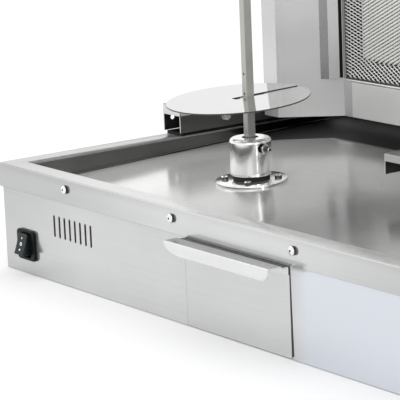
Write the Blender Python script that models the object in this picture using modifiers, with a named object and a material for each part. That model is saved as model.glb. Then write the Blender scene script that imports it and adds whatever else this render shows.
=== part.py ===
"""Twin vertical rotisserie broiler, modelled in metres with +Z up.

The machine is two roasting stations side by side on one wide base.  X runs along the front,
+Y runs from the front to the back, and z = 0 is the surface that the feet stand on.  Depths
called "depth" below are measured backwards from the outer face of the front panel.
"""
import math

import bmesh
import bpy
from mathutils import Matrix, Vector

# ---- driving dimensions --------------------------------------------------------------------
WIDTH = 1.210              # base box, left to right
DEPTH = 0.700              # base box, front to back
RIM_TOP = 0.170            # top of the tray rim above the table
FOOT_HEIGHT = 0.001         # thin rubber pads
OVERHANG = 0.004           # tray rim beyond the box, all round
SHEET = 0.0015             # stainless sheet
GAP = 0.0003               # air between touching pieces
HANDLE_REACH = 0.036       # how far the drawer pull stands out of the front panel
FRONT = -(DEPTH + OVERHANG - HANDLE_REACH) / 2   # y of the front panel's outer face

# tray
RIM_WIDTH = 0.030          # from the box edge to the recess
SKIRT_DROP = 0.028
FLOOR_AT_FRONT = 0.133     # height of the tray floor at depth 0
FLOOR_RISE = 0.032         # rise of the tray floor for each metre of depth
DRAIN_SIZE = (0.180, 0.014)
DRAIN_DEPTH = 0.045

# stations
HUB_X = 0.305              # distance of each drive shaft from the middle of the machine
HOUSING_X = WIDTH / 4      # distance of each heat housing from the middle
HUB_DEPTH = 0.265
SIDES = (("left", -1), ("right", 1))

# drawer
DRAWER_LEFT = -0.115
DRAWER_RIGHT = 0.123
DRAWER_BOTTOM = 0.0065     # underside of the pan; the front reaches a little lower
DRAWER_FRONT_BOTTOM = 0.0015
DRAWER_TOP = 0.1315
DRAWER_LENGTH = 0.400
DRAWER_CLEARANCES = (0.0003, 0.0020)   # left and right of the drawer front
HANDLE_LIP = 0.0180
HANDLE_CORNERS = (("left", 0.040, 0.0165), ("right", 0.016, 0.0165))   # rounding: along x, along z

# switch
SWITCH_X = WIDTH / 2 - 0.0655
SWITCH_Z = 0.0473
BEZEL = (0.050, 0.048)
BEZEL_PROUD = 0.005
ROCKER = (0.0260, 0.0345)
ROCKER_REACH = 0.0120
ROCKER_TILT = math.radians(17)   # the rest pose has the top edge pressed in
ROCKER_PIVOT_OUT = 0.003

# front vents
VENT_COUNT = 8
VENT_FIRST_X = WIDTH / 2 - 0.1460
VENT_PITCH = 0.0144
VENT_WIDTH = 0.0050
VENT_BOTTOM = 0.0725
VENT_TOP = 0.1075

# drive
FLANGE_RADIUS = 0.056
FLANGE_THICK = 0.004
COLLAR_RADIUS = 0.024
COLLAR_TOP = 0.009
SHAFT_RADIUS = 0.012
SHAFT_BOTTOM = 0.066
HUB_RADIUS = 0.0325
HUB_BOTTOM = 0.1560
HUB_TOP = 0.2110
HUB_ROUNDING = 0.006
BORE_RADIUS = 0.0123
BORE_BOTTOM = 0.1630
LOCK_Z = 0.197
GEAR_MODULE = 0.003
GEAR_TEETH = 36
PINION_TEETH = 12
PRESSURE_ANGLE = math.radians(25)
GEAR_BACKLASH = 0.0004
GEAR_BOTTOM = 0.071
GEAR_TOP = 0.083
PINION_BORE_BOTTOM = 0.050
MOTOR_RADIUS = 0.036
MOTOR_TOP = 0.0617

# spit
BAR_SIDE = 0.0134
BAR_TURN = math.radians(-7)
BAR_SHIFT = 0.0007         # the lock screw pushes the bar off the hub's axis by this much
BAR_TOP = 0.875
BAR_HOLE_RADIUS = 0.0022
BAR_HOLES = (0.2785, 0.3090)
SHOULDER_RADIUS = 0.013    # ring on the bar that the meat plate rests on
SHOULDER_HEIGHT = 0.004
PLATE_RADIUS = 0.111
PLATE_TOP = 0.2743         # height of the plate's upper face at the bar
PLATE_THICK = 0.0020
PLATE_OFFSET = 0.0182      # the plate stands this far in front of its fully home place
PLATE_DROOP = math.radians(3.1)   # it hangs down towards the front by this much
SLOT_WIDTH = 0.0144        # the plate is pushed on to the bar from the side
SLOT_PAST_CENTRE = 0.0080

# heat housing, rides on two arms
PANEL_DEPTH = 0.568
PANEL_HALF = 0.1420
WING_X = 0.0715
WING_Y = 0.0840
FLANGE_REACH = 0.2500
SHIELD_BOTTOM = 0.185
SHIELD_TOP = 0.900
OPENING_HALF = 0.1375
OPENING_BOTTOM = 0.248
OPENING_TOP = 0.862
CASE_HALF = 0.141
CASE_BACK = 0.645
CASE_BOTTOM = 0.205
CROSS_BAR = (0.600, 0.640, 0.186, 0.2044)   # front, back, bottom, top
BURNER_SIZE = (0.236, 0.034, 0.286)
BURNER_DEPTH = 0.586
BURNER_BOTTOMS = (0.262, 0.562)
PIPE_DEPTH = 0.657
PIPE_RADIUS = 0.0075
KNOB_RADIUS = 0.015

# arms: folded channels that are open underneath
ARM_FRONT = 0.316
ARM_BACK = 0.645
ARM_WIDTH = 0.0475
OUTER_ARM_X = WIDTH / 2 + 0.003
OUTER_ARM = (0.176, 0.2205, 0.016)   # bottom, top, height of the front flap
INNER_ARM_X = 0.001
INNER_ARM = (0.1815, 0.2130, 0.0115)
ARM_HOLE_RADIUS = 0.0042
STRIP_WIDTH = 0.042
REAR_GUARD = (0.575, 0.688, 0.690, 0.2045)   # half width, front, back, top
RAIL_FRONT = 0.420
RAIL_BACK = 0.662

root = bpy.data.collections.new("twin_vertical_broiler")
cutter_root = bpy.data.collections.new("cutters")


def clear_scene():
    for old in list(bpy.data.objects):
        bpy.data.objects.remove(old, do_unlink=True)
    for group in (root, cutter_root):
        bpy.context.scene.collection.children.link(group)


def material(name, colour, roughness, metallic=0.0):
    made = bpy.data.materials.new(name)
    made.use_nodes = True
    shader = made.node_tree.nodes["Principled BSDF"]
    shader.inputs["Base Color"].default_value = (*colour, 1.0)
    shader.inputs["Roughness"].default_value = roughness
    shader.inputs["Metallic"].default_value = metallic
    made.diffuse_color = (*colour, 1.0)
    return made


BRUSHED = material("brushed_stainless", (0.62, 0.62, 0.60), 0.34, 1.0)
POLISHED = material("polished_stainless", (0.70, 0.70, 0.68), 0.14, 1.0)
MESH = material("guard_mesh", (0.55, 0.55, 0.53), 0.35, 1.0)
BLACK = material("black_plastic", (0.03, 0.035, 0.033), 0.42)
RUBBER = material("black_rubber", (0.02, 0.02, 0.02), 0.80)
CERAMIC = material("burner_ceramic", (0.72, 0.66, 0.56), 0.90)
BRASS = material("brass", (0.72, 0.55, 0.26), 0.30, 1.0)
STEEL = material("zinc_steel", (0.50, 0.50, 0.50), 0.45, 1.0)
PAINT = material("motor_paint", (0.16, 0.17, 0.18), 0.50)


# ---- helpers -------------------------------------------------------------------------------
def y_at(depth):
    return FRONT + depth


def floor_z(depth):
    return FLOOR_AT_FRONT + FLOOR_RISE * depth


def add(name, mesh, finish, group=root, smooth=False):
    body = bpy.data.objects.new(name, mesh)
    group.objects.link(body)
    if finish is not None:
        mesh.materials.append(finish)
    if smooth:
        mesh.shade_smooth()
        mesh.set_sharp_from_angle(angle=math.radians(35))
    return body


def mesh_from(name, work):
    bmesh.ops.recalc_face_normals(work, faces=work.faces)
    mesh = bpy.data.meshes.new(name)
    work.to_mesh(mesh)
    work.free()
    return mesh


def box(name, low, high, finish, group=root, edge=0.0):
    """A box between two corners given in world metres."""
    low, high = Vector(low), Vector(high)
    size = high - low
    work = bmesh.new()
    bmesh.ops.create_cube(work, size=1.0)
    bmesh.ops.scale(work, vec=size, verts=work.verts)
    bmesh.ops.translate(work, vec=(low + high) / 2, verts=work.verts)
    if edge:
        bmesh.ops.bevel(work, geom=work.edges, offset=edge, segments=1, affect="EDGES")
    return add(name, mesh_from(name, work), finish, group)


def rod(name, start, end, radius, finish, group=root, segments=24):
    """A cylinder between two points."""
    start, end = Vector(start), Vector(end)
    along = end - start
    work = bmesh.new()
    bmesh.ops.create_cone(
        work, cap_ends=True, segments=segments, radius1=radius, radius2=radius, depth=along.length
    )
    turn = Vector((0, 0, 1)).rotation_difference(along.normalized()).to_matrix().to_4x4()
    bmesh.ops.transform(work, matrix=Matrix.Translation((start + end) / 2) @ turn, verts=work.verts)
    return add(name, mesh_from(name, work), finish, group, smooth=True)


def prism(name, outline, direction, finish, group=root):
    """A closed outline of 3-D points, pushed along a direction."""
    work = bmesh.new()
    face = work.faces.new([work.verts.new(p) for p in outline])
    pushed = bmesh.ops.extrude_face_region(work, geom=[face])
    moved = [v for v in pushed["geom"] if isinstance(v, bmesh.types.BMVert)]
    bmesh.ops.translate(work, vec=direction, verts=moved)
    return add(name, mesh_from(name, work), finish, group)


def folded_sheet(name, path, direction, thickness, finish):
    """A strip of sheet: an open path pushed along a direction, then given its thickness."""
    work = bmesh.new()
    near = [work.verts.new(p) for p in path]
    far = [work.verts.new(Vector(p) + Vector(direction)) for p in path]
    for i in range(len(path) - 1):
        work.faces.new((near[i], near[i + 1], far[i + 1], far[i]))
    mesh = bpy.data.meshes.new(name)
    work.to_mesh(mesh)
    work.free()
    body = add(name, mesh, finish)
    thicken(body, thickness)
    return body


def thicken(body, thickness):
    """Adds the sheet thickness on the side that the faces look away from."""
    solid = body.modifiers.new("thickness", "SOLIDIFY")
    solid.thickness = thickness
    solid.offset = -1.0
    solid.use_even_offset = True


def open_box(name, low, high, missing, thickness, finish):
    """A sheet box with one side missing; its outer size is the one given."""
    low, high = Vector(low), Vector(high)
    work = bmesh.new()
    bmesh.ops.create_cube(work, size=1.0)
    bmesh.ops.scale(work, vec=high - low, verts=work.verts)
    bmesh.ops.translate(work, vec=(low + high) / 2, verts=work.verts)
    bmesh.ops.recalc_face_normals(work, faces=work.faces)
    gone = [f for f in work.faces if f.normal.dot(Vector(missing)) > 0.9]
    bmesh.ops.delete(work, geom=gone, context="FACES_ONLY")
    mesh = bpy.data.meshes.new(name)
    work.to_mesh(mesh)
    work.free()
    body = add(name, mesh, finish)
    thicken(body, thickness)
    return body


def turned(name, profile, centre, finish, segments=32):
    """A turned solid about the vertical through centre; the profile is (radius, z) pairs."""
    work = bmesh.new()
    points = [work.verts.new((r, 0.0, z)) for r, z in profile]
    for a, b in zip(points, points[1:]):
        work.edges.new((a, b))
    mesh = bpy.data.meshes.new(name)
    work.to_mesh(mesh)
    work.free()
    body = add(name, mesh, finish)
    body.location = centre
    screw = body.modifiers.new("turn", "SCREW")
    screw.angle = math.tau
    screw.steps = segments
    screw.render_steps = segments
    screw.use_merge_vertices = True
    screw.merge_threshold = 0.00005
    screw.use_smooth_shade = True
    return body


def cut(body, cutter):
    """Takes a cutter's volume out of a body."""
    cutter.hide_render = True
    cutter.display_type = "WIRE"
    step = body.modifiers.new("cut", "BOOLEAN")
    step.operation = "DIFFERENCE"
    step.solver = "EXACT"
    step.object = cutter


def join(body, tool):
    """Welds a second solid on to a body."""
    tool.hide_render = True
    tool.display_type = "WIRE"
    step = body.modifiers.new("join", "BOOLEAN")
    step.operation = "UNION"
    step.solver = "EXACT"
    step.object = tool


def slot_cutter(name, x, z_low, z_high, width, y_low, y_high):
    """An upright slot with round ends, for cutting a front panel."""
    half = width / 2
    arc = [math.pi * i / 3 for i in range(4)]
    top = [(x + half * math.cos(a), z_high - half + half * math.sin(a)) for a in arc]
    bottom = [(x - half * math.cos(a), z_low + half - half * math.sin(a)) for a in arc]
    outline = [(px, y_low, pz) for px, pz in top + bottom]
    return prism(name, outline, (0, y_high - y_low, 0), None, cutter_root)


# ---- base ----------------------------------------------------------------------------------
def make_base():
    half = WIDTH / 2
    wall = 0.002
    top = RIM_TOP - SHEET - GAP
    shell = box("base_shell", (-half, y_at(0), FOOT_HEIGHT), (half, y_at(DEPTH), top), BRUSHED)
    cut(shell, box("shell_inside", (-half + wall, y_at(wall), FOOT_HEIGHT - 0.01),
                   (half - wall, y_at(DEPTH - wall), top + 0.01), None, cutter_root))
    cut(shell, box("drawer_hole",
                   (DRAWER_LEFT - DRAWER_CLEARANCES[0], y_at(-0.01), -0.01),
                   (DRAWER_RIGHT + DRAWER_CLEARANCES[1], y_at(0.01), DRAWER_TOP + 0.0015),
                   None, cutter_root))
    for side, sign in SIDES:
        for i in range(VENT_COUNT):
            x = sign * (VENT_FIRST_X - i * VENT_PITCH)
            name = f"vent_{side}_{i}"
            cut(shell, slot_cutter(name, x, VENT_BOTTOM, VENT_TOP, VENT_WIDTH,
                                   y_at(-0.01), y_at(0.01)))
        x = sign * SWITCH_X
        cut(shell, box(f"switch_hole_{side}", (x - 0.0185, y_at(-0.01), SWITCH_Z - 0.0218),
                       (x + 0.0185, y_at(0.01), SWITCH_Z + 0.0218), None, cutter_root))

    inset = wall + GAP
    box("base_floor", (-half + inset, y_at(inset), FOOT_HEIGHT),
        (half - inset, y_at(DEPTH - inset), FOOT_HEIGHT + 0.002), STEEL)

    spots = (("front_left", -1, 0.045), ("front_right", 1, 0.045),
             ("rear_left", -1, DEPTH - 0.045), ("rear_right", 1, DEPTH - 0.045))
    for where, sign, depth in spots:
        x = sign * (half - 0.060)
        rod(f"foot_{where}", (x, y_at(depth), 0), (x, y_at(depth), FOOT_HEIGHT - GAP), 0.018,
            RUBBER, segments=24)


def make_tray():
    """Rim, skirt and sunk floor in one sheet; the floor falls towards the drain at the front."""
    outer_x, inner_x = WIDTH / 2 + OVERHANG, WIDTH / 2 - RIM_WIDTH
    outer_d, inner_d = (-OVERHANG, DEPTH + OVERHANG), (RIM_WIDTH, DEPTH - RIM_WIDTH)

    def ring(work, x, depths, height):
        corners = ((-x, depths[0]), (x, depths[0]), (x, depths[1]), (-x, depths[1]))
        return [work.verts.new((cx, y_at(d), height(d))) for cx, d in corners]

    work = bmesh.new()
    rings = [
        ring(work, outer_x, outer_d, lambda d: RIM_TOP - SKIRT_DROP),
        ring(work, outer_x, outer_d, lambda d: RIM_TOP),
        ring(work, inner_x, inner_d, lambda d: RIM_TOP),
        ring(work, inner_x, inner_d, floor_z),
    ]
    for low, high in zip(rings, rings[1:]):
        for i in range(4):
            j = (i + 1) % 4
            work.faces.new((low[i], low[j], high[j], high[i]))
    work.faces.new(rings[-1])
    mesh = bpy.data.meshes.new("drip_tray")
    work.to_mesh(mesh)
    work.free()
    tray = add("drip_tray", mesh, BRUSHED)
    thicken(tray, SHEET)
    for side, sign in SIDES:
        x = sign * HUB_X
        cut(tray, rod(f"tray_hole_{side}", (x, y_at(HUB_DEPTH), 0.10), (x, y_at(HUB_DEPTH), 0.20),
                      0.018, None, cutter_root, 24))
    long, wide = DRAIN_SIZE
    cut(tray, box("drain", (-long / 2, y_at(DRAIN_DEPTH), 0.12),
                  (long / 2, y_at(DRAIN_DEPTH + wide), 0.15), None, cutter_root))


def make_rear_guard():
    """A low upstand along the rear rim, which keeps grease off the wall behind."""
    half, front, back, top = REAR_GUARD
    box("rear_guard", (-half, y_at(front), RIM_TOP + GAP), (half, y_at(back), top), BRUSHED)


def make_centre_rail():
    """The beam on the tray floor that both inner arms slide on; its underside follows the floor."""
    half = ARM_WIDTH + 0.002
    top = INNER_ARM[0] - GAP
    outline = [(-half, y_at(d), z) for d, z in (
        (RAIL_FRONT, floor_z(RAIL_FRONT) + GAP), (RAIL_BACK, floor_z(RAIL_BACK) + GAP),
        (RAIL_BACK, top), (RAIL_FRONT, top))]
    prism("centre_rail", outline, (2 * half, 0, 0), BRUSHED)


# ---- grease drawer -------------------------------------------------------------------------
def make_drawer():
    box("drawer_front", (DRAWER_LEFT, y_at(0), DRAWER_FRONT_BOTTOM),
        (DRAWER_RIGHT, y_at(0.002), DRAWER_TOP), BRUSHED)
    inset = 0.006
    open_box("drawer_pan", (DRAWER_LEFT + inset, y_at(0.002 + GAP), DRAWER_BOTTOM),
             (DRAWER_RIGHT - inset, y_at(DRAWER_LENGTH), DRAWER_TOP - 0.022), (0, 0, 1), SHEET,
             BRUSHED)
    top = DRAWER_TOP
    low = top - HANDLE_LIP
    profile = ((-GAP, top - 0.014), (-GAP, top), (-HANDLE_REACH, top), (-HANDLE_REACH, low))
    width = DRAWER_RIGHT - DRAWER_LEFT
    handle = folded_sheet("drawer_handle", [(DRAWER_LEFT, y_at(d), z) for d, z in profile],
                          (width, 0, 0), SHEET, BRUSHED)
    ends = {"left": (DRAWER_LEFT, 1), "right": (DRAWER_RIGHT, -1)}
    for end, along, up in HANDLE_CORNERS:
        x, inward = ends[end]
        arc = [math.pi / 2 * i / 6 for i in range(7)]
        outline = [(x + inward * along * (1 - math.cos(a)), low + up * (1 - math.sin(a)))
                   for a in arc]
        outline += [(outline[-1][0], low - 0.01), (x - inward * 0.01, low - 0.01),
                    (x - inward * 0.01, outline[0][1])]
        cut(handle, prism(f"lip_corner_{end}",
                          [(px, y_at(-HANDLE_REACH - 0.005), pz) for px, pz in outline],
                          (0, 0.012, 0), None, cutter_root))


# ---- switches ------------------------------------------------------------------------------
def make_switch(side, sign):
    x = sign * SWITCH_X
    wide, tall = BEZEL[0] / 2, BEZEL[1] / 2
    chamfer = 0.006
    corners = ((wide - chamfer, -tall), (wide, -tall + chamfer), (wide, tall - chamfer),
               (wide - chamfer, tall))
    ring = [(x + cx, SWITCH_Z + cz) for cx, cz in corners]
    ring += [(x - cx, SWITCH_Z - cz) for cx, cz in corners]
    body = prism(f"switch_body_{side}", [(px, y_at(-BEZEL_PROUD), pz) for px, pz in ring],
                 (0, BEZEL_PROUD - GAP, 0), BLACK)
    join(body, box(f"switch_block_{side}", (x - 0.0180, y_at(-0.003), SWITCH_Z - 0.0213),
                   (x + 0.0180, y_at(0.020), SWITCH_Z + 0.0213), None, cutter_root))
    cut(body, box(f"switch_well_{side}", (x - 0.0138, y_at(-0.02), SWITCH_Z - 0.0190),
                  (x + 0.0138, y_at(0.0165), SWITCH_Z + 0.0190), None, cutter_root))

    half_wide, half_tall = ROCKER[0] / 2, ROCKER[1] / 2
    neck = half_tall - 0.0015
    front = [(-ROCKER_REACH, half_tall), (-ROCKER_REACH, -half_tall)]
    back = [(neck * math.sin(a), -neck * math.cos(a)) for a in (math.pi * i / 8 for i in range(9))]
    turn = Matrix.Rotation(-ROCKER_TILT, 2)
    pivot = Vector((-ROCKER_PIVOT_OUT, SWITCH_Z))
    shape = [turn @ Vector(p) + pivot for p in front + back]
    outline = [(x - half_wide, y_at(d), z) for d, z in shape]
    prism(f"rocker_{side}", outline, (2 * half_wide, 0, 0), BLACK)


# ---- drive ---------------------------------------------------------------------------------
def involute_angle(base, radius):
    roll = math.sqrt(max((radius / base) ** 2 - 1.0, 0.0))
    return roll - math.atan(roll)


def gear_outline(teeth, start):
    """Points of a stub-toothed involute gear; start is the angle of the first tooth's middle."""
    pitch = GEAR_MODULE * teeth / 2
    base = pitch * math.cos(PRESSURE_ANGLE)
    tip = pitch + 0.8 * GEAR_MODULE
    foot = pitch - 1.1 * GEAR_MODULE
    half_tooth = math.pi / (2 * teeth) - GEAR_BACKLASH / (2 * pitch)
    at_pitch = involute_angle(base, pitch)
    low = max(base, foot + 0.0002)
    radii = [low, tip]
    points = []
    for i in range(teeth):
        middle = start + math.tau * i / teeth
        flank = [(r, half_tooth + at_pitch - involute_angle(base, r)) for r in radii]
        flank.insert(0, (foot, flank[0][1]))
        points += [(r, middle - a) for r, a in flank]
        points += [(r, middle + a) for r, a in flank[::-1]]
    return [(r * math.cos(a), r * math.sin(a)) for r, a in points]


def make_gear(name, teeth, start, centre, finish):
    outline = [(centre[0] + x, centre[1] + y, GEAR_BOTTOM) for x, y in gear_outline(teeth, start)]
    return prism(name, outline, (0, 0, GEAR_TOP - GEAR_BOTTOM), finish)


def make_drive(side, sign):
    x, y = sign * HUB_X, y_at(HUB_DEPTH)
    slope = math.atan(FLOOR_RISE)

    lift = GAP / math.cos(slope)
    flange = turned(f"bearing_flange_{side}", [
        (0.014, 0.0), (0.014, COLLAR_TOP), (COLLAR_RADIUS, COLLAR_TOP),
        (COLLAR_RADIUS, FLANGE_THICK), (FLANGE_RADIUS - 0.001, FLANGE_THICK),
        (FLANGE_RADIUS, FLANGE_THICK - 0.001), (FLANGE_RADIUS, 0.0), (0.014, 0.0)],
        (x, y, floor_z(HUB_DEPTH) + lift), POLISHED)
    flange.rotation_euler = (slope, 0, 0)

    arc = [math.pi / 2 * i / 3 for i in range(4)]
    shoulder = [(HUB_RADIUS - HUB_ROUNDING * (1 - math.sin(a)),
                 HUB_TOP - HUB_ROUNDING * (1 - math.cos(a))) for a in arc]
    hub = turned(f"drive_hub_{side}", [
        (0.0, BORE_BOTTOM), (BORE_RADIUS, BORE_BOTTOM), (BORE_RADIUS, HUB_TOP), *shoulder,
        (HUB_RADIUS, HUB_BOTTOM), (SHAFT_RADIUS, HUB_BOTTOM), (SHAFT_RADIUS, SHAFT_BOTTOM),
        (0.0, SHAFT_BOTTOM)], (x, y, 0), POLISHED)
    cut(hub, rod(f"lock_hole_{side}", (x, y, LOCK_Z), (x + 0.05, y, LOCK_Z), 0.0053, None,
                 cutter_root, 20))
    cut(hub, rod(f"lock_seat_{side}", (x + 0.0255, y, LOCK_Z), (x + 0.05, y, LOCK_Z), 0.0092,
                 None, cutter_root, 24))

    screw = rod(f"hub_lock_screw_{side}", (x + 0.0074, y, LOCK_Z), (x + 0.0270, y, LOCK_Z), 0.0050,
                STEEL, segments=20)
    join(screw, rod(f"lock_head_{side}", (x + 0.0260, y, LOCK_Z), (x + 0.0385, y, LOCK_Z), 0.0070,
                    None, cutter_root, 24))
    join(screw, rod(f"lock_tip_{side}", (x + 0.0375, y, LOCK_Z), (x + 0.0490, y, LOCK_Z), 0.0038,
                    None, cutter_root, 20))

    gear = make_gear(f"spit_gear_{side}", GEAR_TEETH, math.pi / 2, (x, y), STEEL)
    cut(gear, rod(f"gear_bore_{side}", (x, y, 0.06), (x, y, 0.10), SHAFT_RADIUS + GAP, None,
                  cutter_root))

    centres = GEAR_MODULE * (GEAR_TEETH + PINION_TEETH) / 2
    y_motor = y + centres
    gap_angle = -math.pi / 2 + math.pi / PINION_TEETH
    pinion = make_gear(f"motor_pinion_{side}", PINION_TEETH, gap_angle, (x, y_motor), BRASS)
    join(pinion, rod(f"pinion_shaft_{side}", (x, y_motor, PINION_BORE_BOTTOM + GAP),
                     (x, y_motor, GEAR_BOTTOM + 0.002), 0.0050, None, cutter_root, 20))

    floor_top = FOOT_HEIGHT + 0.002
    motor = rod(f"gear_motor_{side}", (x, y_motor, floor_top + GAP), (x, y_motor, MOTOR_TOP),
                MOTOR_RADIUS, PAINT)
    join(motor, box(f"motor_foot_{side}", (x - 0.045, y_motor - 0.045, floor_top + GAP),
                    (x + 0.045, y_motor + 0.045, floor_top + 0.004), None, cutter_root))
    cut(motor, rod(f"motor_bore_{side}", (x, y_motor, PINION_BORE_BOTTOM),
                   (x, y_motor, MOTOR_TOP + 0.01), 0.0053, None, cutter_root, 20))


# ---- spit ----------------------------------------------------------------------------------
def bar_frame(sign):
    """Places a piece drawn about the spit's own axis: faces square to the bar."""
    foot = (sign * HUB_X - BAR_SHIFT, y_at(HUB_DEPTH), 0)
    return Matrix.Translation(foot) @ Matrix.Rotation(BAR_TURN, 4, "Z")


def make_spit(side, sign):
    place = bar_frame(sign)
    half = BAR_SIDE / 2
    bar = box(f"spit_bar_{side}", (-half, -half, BORE_BOTTOM + GAP), (half, half, BAR_TOP),
              POLISHED, edge=0.0006)
    bar.matrix_world = place
    under_plate = PLATE_TOP - PLATE_THICK / math.cos(PLATE_DROOP)
    shoulder_top = under_plate - SHOULDER_RADIUS * math.tan(PLATE_DROOP) - GAP
    shoulder = rod(f"bar_shoulder_{side}", (0, 0, shoulder_top - SHOULDER_HEIGHT),
                   (0, 0, shoulder_top), SHOULDER_RADIUS, POLISHED, segments=32)
    shoulder.matrix_world = place @ shoulder.matrix_basis
    hollow = box(f"shoulder_hole_{side}", (-half - GAP, -half - GAP, shoulder_top - 0.01),
                 (half + GAP, half + GAP, shoulder_top + 0.01), None, cutter_root)
    hollow.matrix_world = place
    cut(shoulder, hollow)
    for i, z in enumerate(BAR_HOLES):
        hole = rod(f"bar_hole_{side}_{i}", (0, -0.02, z), (0, 0.02, z), BAR_HOLE_RADIUS, None,
                   cutter_root, 16)
        hole.matrix_world = place
        cut(bar, hole)

    lean = place @ Matrix.Translation((0, 0, PLATE_TOP)) @ Matrix.Rotation(PLATE_DROOP, 4, "X")
    plate = turned(f"meat_plate_{side}", [
        (0.0, 0.0), (PLATE_RADIUS - 0.0006, 0.0), (PLATE_RADIUS, -PLATE_THICK / 2),
        (PLATE_RADIUS - 0.0006, -PLATE_THICK), (0.0, -PLATE_THICK)], (0, 0, 0), POLISHED,
        segments=64)
    plate.matrix_world = lean @ Matrix.Translation((0, -PLATE_OFFSET, 0))
    slot = box(f"plate_slot_{side}",
               (-SLOT_WIDTH / 2, -PLATE_OFFSET - SLOT_PAST_CENTRE, -0.01),
               (SLOT_WIDTH / 2, PLATE_RADIUS, 0.01), None, cutter_root)
    slot.matrix_world = lean
    cut(plate, slot)


# ---- heat housing --------------------------------------------------------------------------
def make_housing(side, sign):
    middle = sign * HOUSING_X
    wing_x = PANEL_HALF + WING_X
    wing_depth = PANEL_DEPTH - WING_Y
    half_path = ((FLANGE_REACH, wing_depth), (wing_x, wing_depth), (PANEL_HALF, PANEL_DEPTH))
    path = [(middle - px, d) for px, d in half_path]
    path += [(middle + px, d) for px, d in half_path[::-1]]
    shield = folded_sheet(f"heat_shield_{side}", [(px, y_at(d), SHIELD_BOTTOM) for px, d in path],
                          (0, 0, SHIELD_TOP - SHIELD_BOTTOM), SHEET, POLISHED)
    cut(shield, box(f"shield_opening_{side}",
                    (middle - OPENING_HALF, y_at(PANEL_DEPTH - 0.02), OPENING_BOTTOM),
                    (middle + OPENING_HALF, y_at(PANEL_DEPTH + 0.02), OPENING_TOP), None,
                    cutter_root))

    clearance = 0.0010
    box(f"burner_guard_{side}",
        (middle - OPENING_HALF + clearance, y_at(PANEL_DEPTH), OPENING_BOTTOM + clearance),
        (middle + OPENING_HALF - clearance, y_at(PANEL_DEPTH + 0.003), OPENING_TOP - clearance),
        MESH)

    case = open_box(f"burner_case_{side}",
                    (middle - CASE_HALF, y_at(PANEL_DEPTH + 0.0035), CASE_BOTTOM),
                    (middle + CASE_HALF, y_at(CASE_BACK), SHIELD_TOP), (0, -1, 0), SHEET,
                    BRUSHED)
    for i, bottom in enumerate(BURNER_BOTTOMS):
        size_x, size_y, size_z = BURNER_SIZE
        level = ("lower", "upper")[i]
        inlet_z = bottom + size_z / 2
        burner = box(f"burner_{level}_{side}",
                     (middle - size_x / 2, y_at(BURNER_DEPTH), bottom),
                     (middle + size_x / 2, y_at(BURNER_DEPTH + size_y), bottom + size_z), CERAMIC,
                     edge=0.003)
        join(burner, rod(f"burner_inlet_{level}_{side}",
                         (middle, y_at(BURNER_DEPTH + size_y - 0.004), inlet_z),
                         (middle, y_at(PIPE_DEPTH - PIPE_RADIUS - 0.0006), inlet_z), 0.006, None,
                         cutter_root, 20))
        cut(case, rod(f"case_hole_{level}_{side}", (middle, y_at(CASE_BACK - 0.01), inlet_z),
                      (middle, y_at(CASE_BACK + 0.01), inlet_z), 0.009, None, cutter_root, 20))
        knob = rod(f"gas_knob_{level}_{side}",
                   (middle, y_at(PIPE_DEPTH + 0.0175), inlet_z),
                   (middle, y_at(PIPE_DEPTH + 0.0320), inlet_z), KNOB_RADIUS, BLACK)
        join(knob, box(f"knob_grip_{level}_{side}",
                       (middle - 0.004, y_at(PIPE_DEPTH + 0.0300), inlet_z - KNOB_RADIUS + 0.001),
                       (middle + 0.004, y_at(PIPE_DEPTH + 0.0400), inlet_z + KNOB_RADIUS - 0.001),
                       None, cutter_root))

    inlets = [bottom + BURNER_SIZE[2] / 2 for bottom in BURNER_BOTTOMS]
    pipe = rod(f"gas_manifold_{side}", (middle, y_at(PIPE_DEPTH), CASE_BOTTOM + 0.01),
               (middle, y_at(PIPE_DEPTH), inlets[-1] + 0.03), PIPE_RADIUS, BRASS, segments=24)
    for i, z in enumerate(inlets):
        join(pipe, rod(f"valve_{side}_{i}", (middle, y_at(PIPE_DEPTH), z),
                       (middle, y_at(PIPE_DEPTH + 0.0172), z), 0.0095, None, cutter_root, 20))

    front, back, bottom, top = CROSS_BAR
    outer_end = sign * (OUTER_ARM_X - ARM_WIDTH - GAP)
    inner_end = sign * (INNER_ARM_X + ARM_WIDTH + GAP)
    near, far = sorted((outer_end, inner_end))
    box(f"cross_bar_{side}", (near, y_at(front), bottom), (far, y_at(back), top), BRUSHED)
    make_arm("outer", side, sign * OUTER_ARM_X, -sign, OUTER_ARM)
    make_arm("inner", side, sign * INNER_ARM_X, sign, INNER_ARM)
    make_outer_arm_details(side, sign)


def arm_sides(edge, away):
    return sorted((edge, edge + away * ARM_WIDTH))


def make_arm(kind, side, edge, away, heights):
    """An upside-down channel with a flap that closes the upper part of its front end."""
    bottom, top, flap = heights
    near, far = arm_sides(edge, away)
    path = ((near, bottom), (near, top), (far, top), (far, bottom))
    arm = folded_sheet(f"{kind}_arm_{side}", [(x, y_at(ARM_FRONT), z) for x, z in path],
                       (0, ARM_BACK - ARM_FRONT, 0), SHEET, BRUSHED)
    join(arm, box(f"{kind}_flap_{side}", (near + 0.0005, y_at(ARM_FRONT), top - flap),
                  (far - 0.0005, y_at(ARM_FRONT + SHEET), top - 0.0005), None, cutter_root))


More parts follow.
